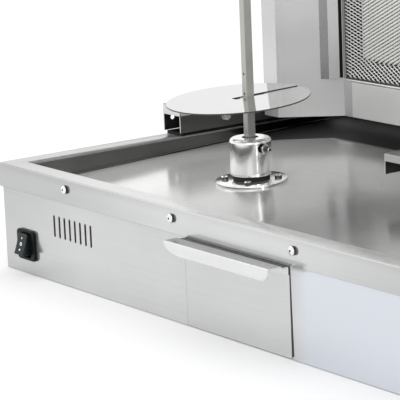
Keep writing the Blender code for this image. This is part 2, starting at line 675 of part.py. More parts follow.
def make_outer_arm_details(side, sign):
    """The outer arm runs on a strip on the tray rim and is clamped to it by a screw."""
    arm = bpy.data.objects[f"outer_arm_{side}"]
    bottom, top, _ = OUTER_ARM
    wall_x = sign * OUTER_ARM_X
    hole = Vector((wall_x, y_at(ARM_FRONT + 0.017), bottom + 0.020))
    reach = Vector((0.01, 0, 0))
    cut(arm, rod(f"arm_hole_{side}", hole - reach, hole + reach, ARM_HOLE_RADIUS, None,
                 cutter_root, 20))

    inwards = -sign
    screw = Vector((wall_x + inwards * ARM_WIDTH, y_at(ARM_FRONT + 0.091), bottom + 0.018))
    cut(arm, rod(f"arm_screw_hole_{side}", screw - reach, screw + reach, 0.0043, None,
                 cutter_root, 20))
    out = Vector((inwards, 0, 0))
    knob = rod(f"arm_lock_screw_{side}", screw - out * 0.012, screw + out * 0.002, 0.0040, STEEL,
               segments=20)
    join(knob, rod(f"arm_screw_head_{side}", screw + out * GAP, screw + out * 0.0080, 0.0075,
                   None, cutter_root, 6))

    near, far = arm_sides(wall_x, inwards)
    middle = (near + far) / 2
    box(f"slide_strip_{side}",
        (middle - STRIP_WIDTH / 2, y_at(ARM_FRONT + 0.004), RIM_TOP + GAP),
        (middle + STRIP_WIDTH / 2, y_at(ARM_BACK - 0.004), bottom - GAP), BLACK)


def main():
    clear_scene()
    make_base()
    make_tray()
    make_rear_guard()
    make_centre_rail()
    make_drawer()
    for side, sign in SIDES:
        make_switch(side, sign)
        make_drive(side, sign)
        make_spit(side, sign)
        make_housing(side, sign)
    bpy.context.view_layer.update()


main()
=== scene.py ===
"""Looks for the twin vertical rotisserie broiler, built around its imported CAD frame."""
import math

import bmesh
import bpy
from mathutils import Matrix, Vector


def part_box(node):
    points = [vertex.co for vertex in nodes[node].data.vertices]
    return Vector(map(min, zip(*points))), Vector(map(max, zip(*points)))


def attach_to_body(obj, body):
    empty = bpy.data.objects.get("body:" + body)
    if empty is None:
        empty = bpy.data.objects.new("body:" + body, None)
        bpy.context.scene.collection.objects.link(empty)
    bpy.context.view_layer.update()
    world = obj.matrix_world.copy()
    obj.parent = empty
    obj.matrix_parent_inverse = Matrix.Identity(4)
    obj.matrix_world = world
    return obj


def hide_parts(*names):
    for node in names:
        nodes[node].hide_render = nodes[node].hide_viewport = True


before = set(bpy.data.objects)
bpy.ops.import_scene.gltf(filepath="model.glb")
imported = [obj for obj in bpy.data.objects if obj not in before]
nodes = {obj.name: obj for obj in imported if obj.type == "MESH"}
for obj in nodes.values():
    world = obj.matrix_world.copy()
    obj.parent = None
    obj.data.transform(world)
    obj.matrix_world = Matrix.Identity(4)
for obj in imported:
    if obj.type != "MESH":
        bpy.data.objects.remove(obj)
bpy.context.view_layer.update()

SIDES = (("left", -1), ("right", 1))    # the stations, with the sign of their X
HANDS = (("a", -1), ("b", 1))           # the two sides of one station
HOUSING_X = 0.305               # from the machine's middle to the middle of each station
HUB_SETBACK = 0.265             # from the front panel back to the hub
PANEL_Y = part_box("base_shell")[0][1]
PANEL_HALF = 0.142              # half the flat part of a heat shield
WING_RUN = Vector((0.0715, 0.084))      # how far each wing runs aside and forwards
TRAY_FLOOR_Z = 0.133            # height of the tray floor in the plane of the front panel
TRAY_SLOPE = 0.032
LOCK_Z = 0.197                  # height of the hub's lock screw
HUB_BOTTOM = 0.1535             # the hub's lower edge as seen
PAINTED_SHADE_BACK, PAINTED_SHADE_FRONT = 0.205, 0.130  # the edge of the painted shade at the panel and the wing ends
PAINTED_SHADE_EDGE = (-0.008, 0.010)    # how far the edge of the painted shade is spread
PAINTED_SHADE_DULLS = 0.50              # roughness added where the painted shade lies


# ---- camera, light and floor ---------------------------------
CAMERA_AT = Vector((2.467, -2.153, 0.870))
CAMERA_AZIMUTH = 0.94941
CAMERA_ELEVATION = 0.21438
CAMERA_ROLL = -0.04124
CAMERA_LENS = 207.0
CAMERA_SENSOR = 36.0


def put(name, data):
    """Adds an object to the scene."""
    made = bpy.data.objects.new(name, data)
    bpy.context.scene.collection.objects.link(made)
    return made


def make_camera():
    az, el, roll = CAMERA_AZIMUTH, CAMERA_ELEVATION, CAMERA_ROLL
    forward = Vector((-math.sin(az) * math.cos(el), math.cos(az) * math.cos(el), -math.sin(el)))
    right = Vector((math.cos(az), math.sin(az), 0))
    up = right.cross(forward)
    across = right * math.cos(roll) + up * math.sin(roll)
    upright = up * math.cos(roll) - right * math.sin(roll)
    data = bpy.data.cameras.new("camera")
    data.lens = CAMERA_LENS
    data.sensor_width = CAMERA_SENSOR
    data.clip_start = 0.05
    data.clip_end = 60
    camera = put("camera", data)
    turn = Matrix((across, upright, -forward)).transposed()
    camera.matrix_world = Matrix.Translation(CAMERA_AT) @ turn.to_4x4()
    bpy.context.scene.camera = camera


def make_light(name, place, target, size, power, tall=None):
    """A round soft light, or an upright strip where a height is given."""
    data = bpy.data.lights.new(name, "AREA")
    data.shape = "RECTANGLE" if tall else "DISK"
    data.size = size
    if tall:
        data.size_y = tall
    data.energy = power
    light = put(name, data)
    aim = (Vector(target) - Vector(place)).to_track_quat("-Z", "Y")
    light.matrix_world = Matrix.Translation(place) @ aim.to_matrix().to_4x4()


def make_studio():
    world = bpy.data.worlds.new("studio")
    world.use_nodes = True
    bpy.context.scene.world = world
    back = world.node_tree.nodes["Background"]
    back.inputs["Color"].default_value = (1.0, 1.0, 1.0, 1.0)
    back.inputs["Strength"].default_value = 1.06
    make_light("key", (-2.6, -2.4, 3.4), (0, 0, 0.3), 2.4, 34)
    make_light("fill", (3.0, -3.2, 2.6), (0, 0, 0.3), 2.8, 12)
    make_light("edge", (2.9, -0.20, 0.75), (-0.3, -0.1, 0.2), 0.36, 12, 1.5)
    reach = 14.0
    mesh = bpy.data.meshes.new("floor")
    mesh.from_pydata([(-reach, -reach, 0), (reach, -reach, 0), (reach, reach, 0),
                      (-reach, reach, 0)], [], [(0, 1, 2, 3)])
    floor = put("floor", mesh)
    paper = bpy.data.materials.new("paper")
    paper.use_nodes = True
    shader = paper.node_tree.nodes["Principled BSDF"]
    shader.inputs["Base Color"].default_value = (0.93, 0.93, 0.93, 1)
    shader.inputs["Roughness"].default_value = 0.9
    mesh.materials.append(paper)
    bpy.context.scene.view_settings.view_transform = "Standard"


# ---- materials -----------------------------------------------
class Nodes:
    """Short names for building one procedural material."""

    def __init__(self, name):
        self.made = bpy.data.materials.new(name)
        self.made.use_nodes = True
        self.tree = self.made.node_tree
        self.shader = self.tree.nodes["Principled BSDF"]

    def new(self, kind, **settings):
        node = self.tree.nodes.new(kind)
        for key, value in settings.items():
            setattr(node, key, value)
        return node

    def link(self, out, into):
        self.tree.links.new(out, into)

    def maths(self, operation, *values):
        """One sum; a value is a number or another node's output."""
        node = self.new("ShaderNodeMath", operation=operation)
        for socket, value in zip(node.inputs, values):
            if isinstance(value, float):
                socket.default_value = value
            else:
                self.link(value, socket)
        return node.outputs["Value"]

    def place(self):
        """The X, Y and Z of a place on the object, in metres."""
        where = self.new("ShaderNodeTexCoord")
        parts = self.new("ShaderNodeSeparateXYZ")
        self.link(where.outputs["Object"], parts.inputs["Vector"])
        return parts.outputs

    def grain(self, scale, detail):
        """Noise on the object's own coordinates, stretched by the three scales."""
        where = self.new("ShaderNodeTexCoord")
        stretch = self.new("ShaderNodeMapping")
        stretch.inputs["Scale"].default_value = scale
        noise = self.new("ShaderNodeTexNoise")
        noise.inputs["Scale"].default_value = 1.0
        noise.inputs["Detail"].default_value = detail
        noise.inputs["Roughness"].default_value = 0.6
        self.link(where.outputs["Object"], stretch.inputs["Vector"])
        self.link(stretch.outputs["Vector"], noise.inputs["Vector"])
        return noise.outputs["Fac"]

    def ramp(self, value, low, high, start=0.3, stop=0.7):
        """Turns a noise value into a colour between two colours."""
        ramp = self.new("ShaderNodeValToRGB")
        ramp.color_ramp.elements[0].position = start
        ramp.color_ramp.elements[1].position = stop
        ramp.color_ramp.elements[0].color = (*low, 1)
        ramp.color_ramp.elements[1].color = (*high, 1)
        self.link(value, ramp.inputs["Fac"])
        return ramp.outputs["Color"]

    def span(self, value, low, high, start=0.3, stop=0.7):
        span = self.new("ShaderNodeMapRange")
        span.inputs["From Min"].default_value = start
        span.inputs["From Max"].default_value = stop
        span.inputs["To Min"].default_value = low
        span.inputs["To Max"].default_value = high
        self.link(value, span.inputs["Value"])
        return span.outputs["Result"]

    def fade(self, axis, start, stop, factor, mirrored):
        """A tone that goes from 1 to a factor between two places along one axis."""
        along = self.place()[axis]
        if mirrored:
            along = self.maths("ABSOLUTE", along)
        return self.span(along, 1.0, factor, start, stop)

    def housing_shade_share(self):
        """How far a place is inside the painted shade under and behind each housing, 0 to 1.

        The painted shade stands for the housing's shadow and reflection on the tray; its edge
        follows the housing's plan: straight across, then forwards along each wing.
        """
        place = self.place()
        from_middle = self.maths("ABSOLUTE", place["X"])
        aside = self.maths("ABSOLUTE", self.maths("SUBTRACT", from_middle, HOUSING_X))
        edge = self.span(aside, PAINTED_SHADE_BACK, PAINTED_SHADE_FRONT, PANEL_HALF, PANEL_HALF + WING_RUN.x)
        past = self.maths("SUBTRACT", place["Y"], edge)
        return self.span(past, 0.0, 1.0, *PAINTED_SHADE_EDGE)

    def multiply(self, one, two):
        mix = self.new("ShaderNodeMix", data_type="RGBA", blend_type="MULTIPLY")
        mix.inputs["Factor"].default_value = 1.0
        self.link(one, mix.inputs["A"])
        self.link(two, mix.inputs["B"])
        return mix.outputs["Result"]

    def bump(self, height, distance, strength=0.4):
        bump = self.new("ShaderNodeBump")
        bump.inputs["Strength"].default_value = strength
        bump.inputs["Distance"].default_value = distance
        self.link(height, bump.inputs["Height"])
        self.link(bump.outputs["Normal"], self.shader.inputs["Normal"])

    def set(self, **values):
        for key, value in values.items():
            self.shader.inputs[key.replace("_", " ")].default_value = value


def shade(colour, factor):
    """A colour, or a grey given as one number, made lighter or darker."""
    if isinstance(colour, float):
        colour = (colour,) * 3
    return tuple(c * factor for c in colour)


def steel(name, colour, roughness, along, contrast=0.05, relief=0.000012, patches=0.05,
          metallic=1.0, film=None, fades=(), stain_and_shade=None):
    """Steel with brush lines along one axis, faint handling patches and uneven gloss.

    film is (x, width, colour): past x the front still wears its pale protective film.
    fades are (axis, start, stop, factor, mirrored): painted shade, a tone that changes along an
    axis.
    The last argument is the tone of the painted shade where a housing shadows the sheet and is
    mirrored in it.
    """
    n = Nodes(name)
    n.set(Metallic=metallic)
    fine, coarse = 900.0, 6.0
    scale = [fine, fine, fine]
    if along is not None:
        scale[along] = coarse
    lines = n.grain(scale, detail=3.0)
    cloud = n.grain((7.0, 7.0, 7.0), detail=3.0)
    tone = n.ramp(lines, shade(colour, 1 - contrast), shade(colour, 1 + contrast * 0.4))
    wear = n.ramp(cloud, (1 - patches,) * 3, (1.0,) * 3)
    tone = n.multiply(tone, wear)
    for axis, start, stop, factor, mirrored in fades:
        tone = n.multiply(tone, n.fade(axis, start, stop, factor, mirrored))
    gloss = n.span(cloud, roughness * 0.85, roughness * 1.2)
    # painted shade: darker and duller inside the housings' shadow and reflection
    if stain_and_shade is not None:
        share = n.housing_shade_share()
        tone = n.multiply(tone, n.span(share, 1.0, stain_and_shade, 0.0, 1.0))
        gloss = n.maths("MULTIPLY_ADD", share, PAINTED_SHADE_DULLS, gloss)
    if film is not None:
        start, width, pale = film
        place = n.place()
        across = n.span(place["X"], 0.0, 1.0, start, start + width)
        on_front = n.span(place["Y"], 1.0, 0.0, PANEL_Y + 0.002, PANEL_Y + 0.006)
        mix = n.new("ShaderNodeMix", data_type="RGBA", blend_type="MIX")
        n.link(n.maths("MULTIPLY", across, on_front), mix.inputs["Factor"])
        n.link(tone, mix.inputs["A"])
        mix.inputs["B"].default_value = (*pale, 1)
        tone = mix.outputs["Result"]
    n.link(tone, n.shader.inputs["Base Color"])
    n.link(gloss, n.shader.inputs["Roughness"])
    n.bump(lines, relief)
    return n.made


def moulded(name, colour, roughness, grain_size=1400.0, relief=0.00006, gloss=0.30):
    """Moulded plastic or rubber with a fine spark-eroded grain."""
    n = Nodes(name)
    speck = n.grain((grain_size,) * 3, detail=2.0)
    cloud = n.grain((18.0,) * 3, detail=3.0)
    n.shader.inputs["Specular IOR Level"].default_value = gloss
    tone = n.ramp(cloud, shade(colour, 0.8), shade(colour, 1.25))
    n.link(tone, n.shader.inputs["Base Color"])
    n.link(n.span(cloud, roughness * 0.85, roughness * 1.15), n.shader.inputs["Roughness"])
    n.bump(speck, relief, 0.35)
    return n.made


def ceramic():
    """Fired burner tile: a grid of small flame ports in a dull, heat-stained body."""
    n = Nodes("fired_ceramic")
    where = n.new("ShaderNodeTexCoord")
    ports = n.new("ShaderNodeTexVoronoi", feature="DISTANCE_TO_EDGE")
    ports.inputs["Scale"].default_value = 190.0
    ports.inputs["Randomness"].default_value = 0.25
    n.link(where.outputs["Object"], ports.inputs["Vector"])
    stain_and_shade = n.grain((9.0,) * 3, detail=4.0)
    body = n.ramp(stain_and_shade, (0.050, 0.042, 0.035), (0.10, 0.085, 0.070))
    holes = n.ramp(ports.outputs["Distance"], (1, 1, 1), (0.15, 0.15, 0.15), 0.10, 0.35)
    n.link(n.multiply(body, holes), n.shader.inputs["Base Color"])
    n.set(Roughness=0.92)
    n.bump(ports.outputs["Distance"], -0.0015, 0.8)
    return n.made


# Painted shade: the tray's skirt darkens towards both ends.
SHEET = steel("brushed_sheet", (0.63, 0.635, 0.635), 0.17, 0, metallic=0.80,
              fades=(("X", 0.14, 0.42, 0.78, True), ("X", 0.45, 0.60, 0.98, True)))
DRAWER_SHEET = steel("drawer_sheet", (0.63, 0.635, 0.635), 0.17, 0, metallic=0.80)
# Painted shade: the base's sheet darkens towards both ends and towards the top, under the skirt.
FRONT = steel("front_sheet", (0.64, 0.645, 0.645), 0.17, 0, metallic=0.80,
              film=(0.128, 0.030, (0.655, 0.680, 0.735)),
              fades=(("X", 0.38, 0.60, 0.84, True), ("Z", 0.05, 0.15, 0.90, False)))
SHEET_Y = steel("brushed_sheet_deep", (0.50, 0.505, 0.51), 0.22, 1, metallic=0.85)
SHEET_Z = steel("brushed_sheet_upright", 0.55, 0.22, 2, metallic=0.85)
PULL = steel("pull_sheet", (0.74, 0.745, 0.745), 0.24, 0, metallic=0.70)
# Painted shade: the pull's upward faces take a darker copy of its steel, and its step a darker
# one still.
PULL_SHELF_SHADE = steel("pull_shelf_painted_shade", 0.42, 0.22, 0, contrast=0.12, metallic=0.80)
PULL_STEP_SHADOW = steel("pull_step_painted_shadow", 0.20, 0.25, 0, contrast=0.12, metallic=0.80)
# Painted shade: the arms, the centre rail and the guard frame are coloured near black for the
# shade they lie in.
SHADED = steel("painted_shade_sheet", (0.12, 0.12, 0.117), 0.30, 1, metallic=0.8)
# Painted shade: the cross bar is near black for the shade it lies in.
CROSS_BAR_SHADE = steel("cross_bar_painted_shade", (0.05, 0.05, 0.048), 0.40, 0, contrast=0.15, metallic=0.8)
FLAP = steel("flap_sheet", (0.66, 0.66, 0.655), 0.30, 2, metallic=0.55)
# Painted light: the rim's upward faces take a lighter copy of the sheet, darker towards both
# ends.
RIM_TOP_LIGHT = steel("rim_top_painted_light", (0.69, 0.69, 0.685), 0.24, 0, metallic=0.70,
            fades=(("X", 0.35, 0.57, 0.76, True),))
# Painted shade and reflection: the tray floor darkens towards the middle and the back, and goes
# near black under and behind the housings.
TRAY = steel("tray_sheet", (0.95, 0.95, 0.935), 0.15, 0, patches=0.10, metallic=0.47,
             fades=(("X", 0.40, 0.04, 0.25, True), ("Y", 0.02, 0.22, 0.54, False)), stain_and_shade=0.04)
# Painted shade: the tray's walls and fillet are near black and darker towards the back; the rear
# wall and the rear guard are darker still.
TRAY_WALL_SHADE = steel("tray_wall_painted_shade", (0.135, 0.135, 0.13), 0.16, 0, patches=0.12,
                  fades=(("Y", 0.05, 0.20, 0.20, False),))
TRAY_BACK_SHADE = steel("tray_back_painted_shade", (0.035, 0.035, 0.033), 0.30, 0, patches=0.12)
BRIGHT = steel("mirror_plate", (0.71, 0.71, 0.705), 0.045, None, contrast=0.02, relief=0.000004,
               patches=0.02)
# Painted shadow: a dark grey strip for the shadow under the skirt's edge.
SKIRT_SHADOW = steel("skirt_shadow_strip", (0.22, 0.22, 0.215), 0.40, 0, contrast=0.10, metallic=0.6)
EDGE = steel("plate_edge_painted_shade", 0.10, 0.35, None, contrast=0.10)
TURNED = steel("turned_steel", (0.96, 0.96, 0.95), 0.13, None, contrast=0.06, relief=0.00001,
               metallic=0.88)
BAR = steel("spit_bar_steel", (0.42, 0.42, 0.395), 0.26, 2, patches=0.10, metallic=0.45)
# Painted shade: the reflector sheet darkens upwards from its lower edge.
SHIELD = steel("reflector_sheet", (0.67, 0.675, 0.67), 0.24, 2, contrast=0.03, patches=0.03,
               metallic=0.55, fades=(("Z", 0.24, 0.34, 0.86, False),))
APRON = steel("apron_sheet", (0.73, 0.73, 0.72), 0.26, 0, contrast=0.03, patches=0.04,
              metallic=0.25)
STRIP = steel("strip_sheet", (0.60, 0.605, 0.60), 0.24, 2, contrast=0.03, patches=0.03,
              metallic=0.50)
SHIELD_DARK = steel("reflector_shade", (0.29, 0.295, 0.29), 0.25, 2)
REVEAL = steel("reveal_shade", 0.015, 0.55, 2)
FASTENER = steel("fastener_steel", (0.88, 0.88, 0.87), 0.20, None, contrast=0.10, metallic=0.75)
# Painted shade: a near-black copy of the steel for screw sides, the hub's bore and the drawer
# gap.
NEAR_BLACK_SHADE = steel("near_black_painted_shade", 0.06, 0.30, None, contrast=0.10)
BOLT_SIDE_SHADE = steel("bolt_side_painted_shade", 0.16, 0.30, None, contrast=0.10)
WIRE = steel("guard_wire", (0.94, 0.94, 0.92), 0.36, None, contrast=0.08, metallic=0.30)
ZINC = steel("zinc_plate", (0.50, 0.51, 0.52), 0.40, None, contrast=0.18, patches=0.15)
BRASS = steel("machined_brass", (0.72, 0.54, 0.25), 0.26, None, contrast=0.10, patches=0.12)
PLASTIC = moulded("moulded_black", (0.005, 0.006, 0.006), 0.34, gloss=0.12)
ROCKER_PLASTIC = moulded("rocker_black", (0.006, 0.010, 0.012), 0.26)
RUBBER = moulded("rubber_black", 0.020, 0.75, 700.0, 0.00010)
PAINT = moulded("motor_enamel", (0.05, 0.055, 0.06), 0.42, 500.0, 0.00008)
MARK = moulded("white_mark", (0.80, 0.82, 0.84), 0.35)
CERAMIC = ceramic()


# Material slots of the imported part
BRUSHED, POLISHED, ZINCED = "brushed_stainless", "polished_stainless", "zinc_steel"
MOULDING, MESH = "black_plastic", "guard_mesh"


# ---- mesh helpers --------------------------------------------
def attach(made, body, replaces):
    """Says which body a piece moves with and the nodes it stands for."""
    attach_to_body(made, body)
    if replaces:
        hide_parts(*replaces)


def piece(name, work, finish, body, slot, replaces=(), smooth_angle=35):
    """Turns a work mesh into a visible piece of the machine."""
    bmesh.ops.recalc_face_normals(work, faces=work.faces)
    mesh = bpy.data.meshes.new(name)
    work.to_mesh(mesh)
    work.free()
    mesh.materials.append(finish)
    made = put(name, mesh)
    mesh.shade_smooth()
    mesh.set_sharp_from_angle(angle=math.radians(smooth_angle))
    attach(made, body, replaces)
    return made


def second_finish(made, finish, wanted):
    """Faces that a rule picks, by their normal and middle, take another finish."""
    made.data.materials.append(finish)
    index = len(made.data.materials) - 1
    for face in made.data.polygons:
        if wanted(face.normal, face.center):
            face.material_index = index


def soften(made, width, segments, angle):
    """Rounds the edges of a piece, as pressed or machined edges are."""
    bevel = made.modifiers.new("soft_edges", "BEVEL")
    bevel.width = width
    bevel.segments = segments
    bevel.limit_method = "ANGLE"
    bevel.angle_limit = math.radians(angle)
    bevel.harden_normals = True


def join_rings(work, rings, closed=False):
    """Skins a row of rings of points; a ring of one point is a pole."""
    for a, b in zip(rings, rings[1:] + (rings[:1] if closed else [])):
        count = max(len(a), len(b))
        for i in range(count if count > 1 else 0):
            j = (i + 1) % count
            if len(a) == 1:
                work.faces.new((a[0], b[i], b[j]))
            elif len(b) == 1:
                work.faces.new((a[i], a[j], b[0]))
            else:
                work.faces.new((a[i], a[j], b[j], b[i]))


def turned(profile, place, segments, work=None):
    """A solid of revolution; its (radius, height) profile runs from axis to axis or closes."""
    work = work or bmesh.new()
    rings = [[work.verts.new(place @ Vector((*polar(radius, math.tau * i / segments), height)))
              for i in range(segments if radius else 1)]
             for radius, height in profile]
    join_rings(work, rings)
    bmesh.ops.remove_doubles(work, verts=work.verts, dist=1e-6)
    return work


def prism(outline, push, work=None):
    """A closed outline pushed along a vector."""
    work = work or bmesh.new()
    push = Vector(push)
    near = [work.verts.new(p) for p in outline]
    far = [work.verts.new(Vector(p) + push) for p in outline]
    work.faces.new(near)
    work.faces.new(far[::-1])
    count = len(outline)
    for i in range(count):
        j = (i + 1) % count
        work.faces.new((near[j], near[i], far[i], far[j]))
    return work


def polar(radius, angle, middle=(0.0, 0.0)):
    return middle[0] + radius * math.cos(angle), middle[1] + radius * math.sin(angle)


def arc(centre, radius, start, stop, steps):
    """Points of an arc in a plane, angles in degrees."""
    return [polar(radius, math.radians(start + (stop - start) * i / steps), centre)
            for i in range(steps + 1)]


def rounded_box(half_wide, half_tall, radius, steps=6):
    points = []
    for sx, sz, start in ((1, 1, 0), (-1, 1, 90), (-1, -1, 180), (1, -1, 270)):
        middle = (sx * (half_wide - radius), sz * (half_tall - radius))
        points += arc(middle, radius, start, start + 90, steps)
    return points


def flat(outline, axis, at, middle=(0.0, 0.0)):
    """Points of a flat outline about a middle, all at one place along an axis."""
    order = {"X": (2, 0, 1), "Y": (0, 2, 1), "Z": (0, 1, 2)}[axis]
    return [[(middle[0] + a, middle[1] + b, at)[k] for k in order] for a, b in outline]


def slab(outline, axis, start, depth, middle=(0.0, 0.0), work=None):
    """A flat outline that starts at a place along an axis and is pushed along that axis."""
    push = [depth if axis == other else 0 for other in "XYZ"]
    return prism(flat(outline, axis, start, middle), push, work)


def facing(direction):
    """A turn that takes +Z to a direction."""
    return Vector((0, 0, 1)).rotation_difference(Vector(direction)).to_matrix().to_4x4()


def low_high(node):
    """The two corners of a node's box."""
    low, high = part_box(node)
    return Vector(low), Vector(high)


def middle_of(low, high):
    return [(a + b) / 2 for a, b in zip(low, high)]


def finish_node(name, finish, edge, segments=2, angle=32):
    """Gives a carried-over CAD node its finish, and rounds its edges."""
    node = nodes[name]
    for holder in node.material_slots:
        holder.link = "OBJECT"
        holder.material = finish
    soften(node, edge, segments, angle)


def hex_outline(size, turn=0.0):
    return [polar(size / math.sqrt(3), turn + math.tau * i / 6) for i in range(6)]


def cut_with(made, work, name):
    """Takes a volume out of a piece and leaves no cutter behind."""
    mesh = bpy.data.meshes.new(name)
    bmesh.ops.recalc_face_normals(work, faces=work.faces)
    work.to_mesh(mesh)
    work.free()
    tool = put(name, mesh)
    step = made.modifiers.new("cut", "BOOLEAN")
    step.operation = "DIFFERENCE"
    step.solver = "EXACT"
    step.object = tool
    bpy.context.view_layer.update()
    shaped = made.evaluated_get(bpy.context.evaluated_depsgraph_get())
    result = bpy.data.meshes.new_from_object(shaped)
    made.modifiers.remove(step)
    old = made.data
    made.data = result
    bpy.data.meshes.remove(old)
    bpy.data.objects.remove(tool, do_unlink=True)
    bpy.data.meshes.remove(mesh)
    made.data.shade_smooth()
    made.data.set_sharp_from_angle(angle=math.radians(30))


# ---- base and tray -------------------------------------------
SCREW_PLACES = (-0.4155, -0.1385, 0.1385, 0.4155)
SCREW_DROP = 0.0155             # from the rim down to the skirt screws


def pan_head(place, radius, height, segments=40):
    """A screw head with upright sides, a domed face and a small drive recess."""
    side = height * 0.55
    profile = [(0.0, -0.0006), (radius * 0.97, -0.0006), (radius, 0.0), (radius, side)]
    for i in range(1, 7):
        a = math.pi / 2 * i / 8
        profile.append((radius * math.cos(a) ** 0.7, side + (height - side) * math.sin(a)))
    well = radius * 0.26
    profile += [(well, height), (well * 0.9, height * 0.6), (0.0, height * 0.5)]
    return turned(profile, place, segments)


def sheet_ring(profile, corners):
    """A closed profile of (inset, height) swept round a rectangle with mitred corners.

    The height may be a number or a rule that takes the depth.
    """
    (x0, y0), (x1, y1) = corners
    work = bmesh.new()
    loops = []
    for inset, height in profile:
        loop = []
        for x, y, sx, sy in ((x0, y0, 1, 1), (x1, y0, -1, 1), (x1, y1, -1, -1), (x0, y1, 1, -1)):
            px, py = x + sx * inset, y + sy * inset
            loop.append(work.verts.new((px, py, height(py) if callable(height) else height)))
        loops.append(loop)
    join_rings(work, loops, closed=True)
    return work


def make_tray():
    """Rim with its skirt, walls and sloping floor of the drip tray."""
    low, high = low_high("drip_tray")
    corners = ((low.x, low.y), (high.x, high.y))
    thick, rim, top = 0.0015, 0.034, high.z
    x_side, y_front, y_back = high.x - rim, low.y + rim, high.y - rim

    def floor_z(y):
        return TRAY_FLOOR_Z + TRAY_SLOPE * (y - PANEL_Y)

    outer = [(0.0, low.z), (0.0, top - 0.0016), (0.0005, top - 0.0005), (0.0016, top),
             (rim - 0.0020, top), (rim - 0.0006, top - 0.0006), (rim, top - 0.0020),
             (rim, top - 0.0050)]
    inner = [(rim - thick, top - 0.0050), (rim - thick, top - thick), (thick, top - thick),
             (thick, low.z)]
    ring = piece("tray_rim", sheet_ring(outer + inner, corners), SHEET, "base", BRUSHED,
                 ["drip_tray"])
    # painted light on the rim's upward faces
    second_finish(ring, RIM_TOP_LIGHT, lambda normal, middle: normal.z > 0.3)

    # painted shade on the tray walls
    for place, finish, (xa, ya), (xb, yb), push in (
            ("rear", TRAY_BACK_SHADE, (-x_side, y_back), (x_side, y_back), (0, thick, 0)),
            ("front", TRAY_WALL_SHADE, (-x_side, y_front), (x_side, y_front), (0, -thick, 0)),
            ("left", TRAY_WALL_SHADE, (-x_side, y_front), (-x_side, y_back), (-thick, 0, 0)),
            ("right", TRAY_WALL_SHADE, (x_side, y_front), (x_side, y_back), (thick, 0, 0))):
        outline = [(xa, ya, floor_z(ya) - 0.0008), (xb, yb, floor_z(yb) - 0.0008),
                   (xb, yb, top - 0.0052), (xa, ya, top - 0.0052)]
        piece(f"tray_wall_{place}", prism(outline, push), finish, "base", BRUSHED)

    section = [(y_front, floor_z(y_front)), (y_back, floor_z(y_back)),
               (y_back, floor_z(y_back) - thick), (y_front, floor_z(y_front) - thick)]
    floor = piece("tray_floor", slab(section, "X", -x_side, 2 * x_side), TRAY, "base", BRUSHED)
    tool = bmesh.new()
    for _, sign in SIDES:
        turned([(0.0, 0.10), (0.018, 0.10), (0.018, 0.20), (0.0, 0.20)],
               Matrix.Translation((sign * HOUSING_X, PANEL_Y + HUB_SETBACK, 0)), 64, tool)
    drain = rounded_box(0.090, 0.007, 0.0068)
    slab(drain, "Z", 0.12, 0.04, (0.0, PANEL_Y + 0.052), tool)
    cut_with(floor, tool, "tray_holes")

    radius = 0.0035
    section = [(0.0, 0.0)] + arc((radius, radius), radius, 270, 180, 5)
    fillet = [(rim + inset, (lambda y, up=up: floor_z(y) + 0.0001 + up))
              for inset, up in section]
    piece("tray_fillet", sheet_ring(fillet, corners), TRAY_WALL_SHADE, "base", BRUSHED)
    # painted shadow: a dark grey strip peeks out below the skirt's lower edge
    seal = [(0.0010, low.z - 0.0006), (0.0010, low.z + 0.0010),
            (thick + 0.0006, low.z + 0.0010), (thick + 0.0006, low.z - 0.0006)]
    piece("skirt_shadow_line", sheet_ring(seal, corners), SKIRT_SHADOW, "base", BRUSHED)


def make_base():
    finish_node("base_shell", FRONT, 0.0008)
    finish_node("rear_guard", TRAY_BACK_SHADE, 0.0005)
    finish_node("base_floor", ZINC, 0.0004)
    finish_node("centre_rail", SHADED, 0.0010)
    for place in ("front_left", "front_right", "rear_left", "rear_right"):
        finish_node(f"foot_{place}", RUBBER, 0.0002)
    make_tray()
    low, high = low_high("drip_tray")
    for i, x in enumerate(SCREW_PLACES):
        place = Matrix.Translation((x, low.y, high.z - SCREW_DROP)) @ facing((0, -1, 0))
        screw = piece(f"skirt_screw_{i}", pan_head(place, 0.0066, 0.0058), FASTENER, "base",
                      POLISHED)
        # painted shade on the sides of the screw heads
        second_finish(screw, NEAR_BLACK_SHADE, lambda normal, middle: abs(normal.y) < 0.35)


# ---- drawer --------------------------------------------------
def sheet_section(path, thickness):
    """Closed outline of a folded sheet: a path and the same path set over by its thickness."""
    points = [Vector(p) for p in path]
    over = []
    for i, here in enumerate(points):
        normals = []
        for a, b in ((i - 1, i), (i, i + 1)):
            if a >= 0 and b < len(points):
                run = (points[b] - points[a]).normalized()
                normals.append(Vector((-run.y, run.x)))
        middle = sum(normals, Vector((0, 0))).normalized()
        over.append(here + middle * thickness / max(0.3, middle.dot(normals[0])))
    return points, over


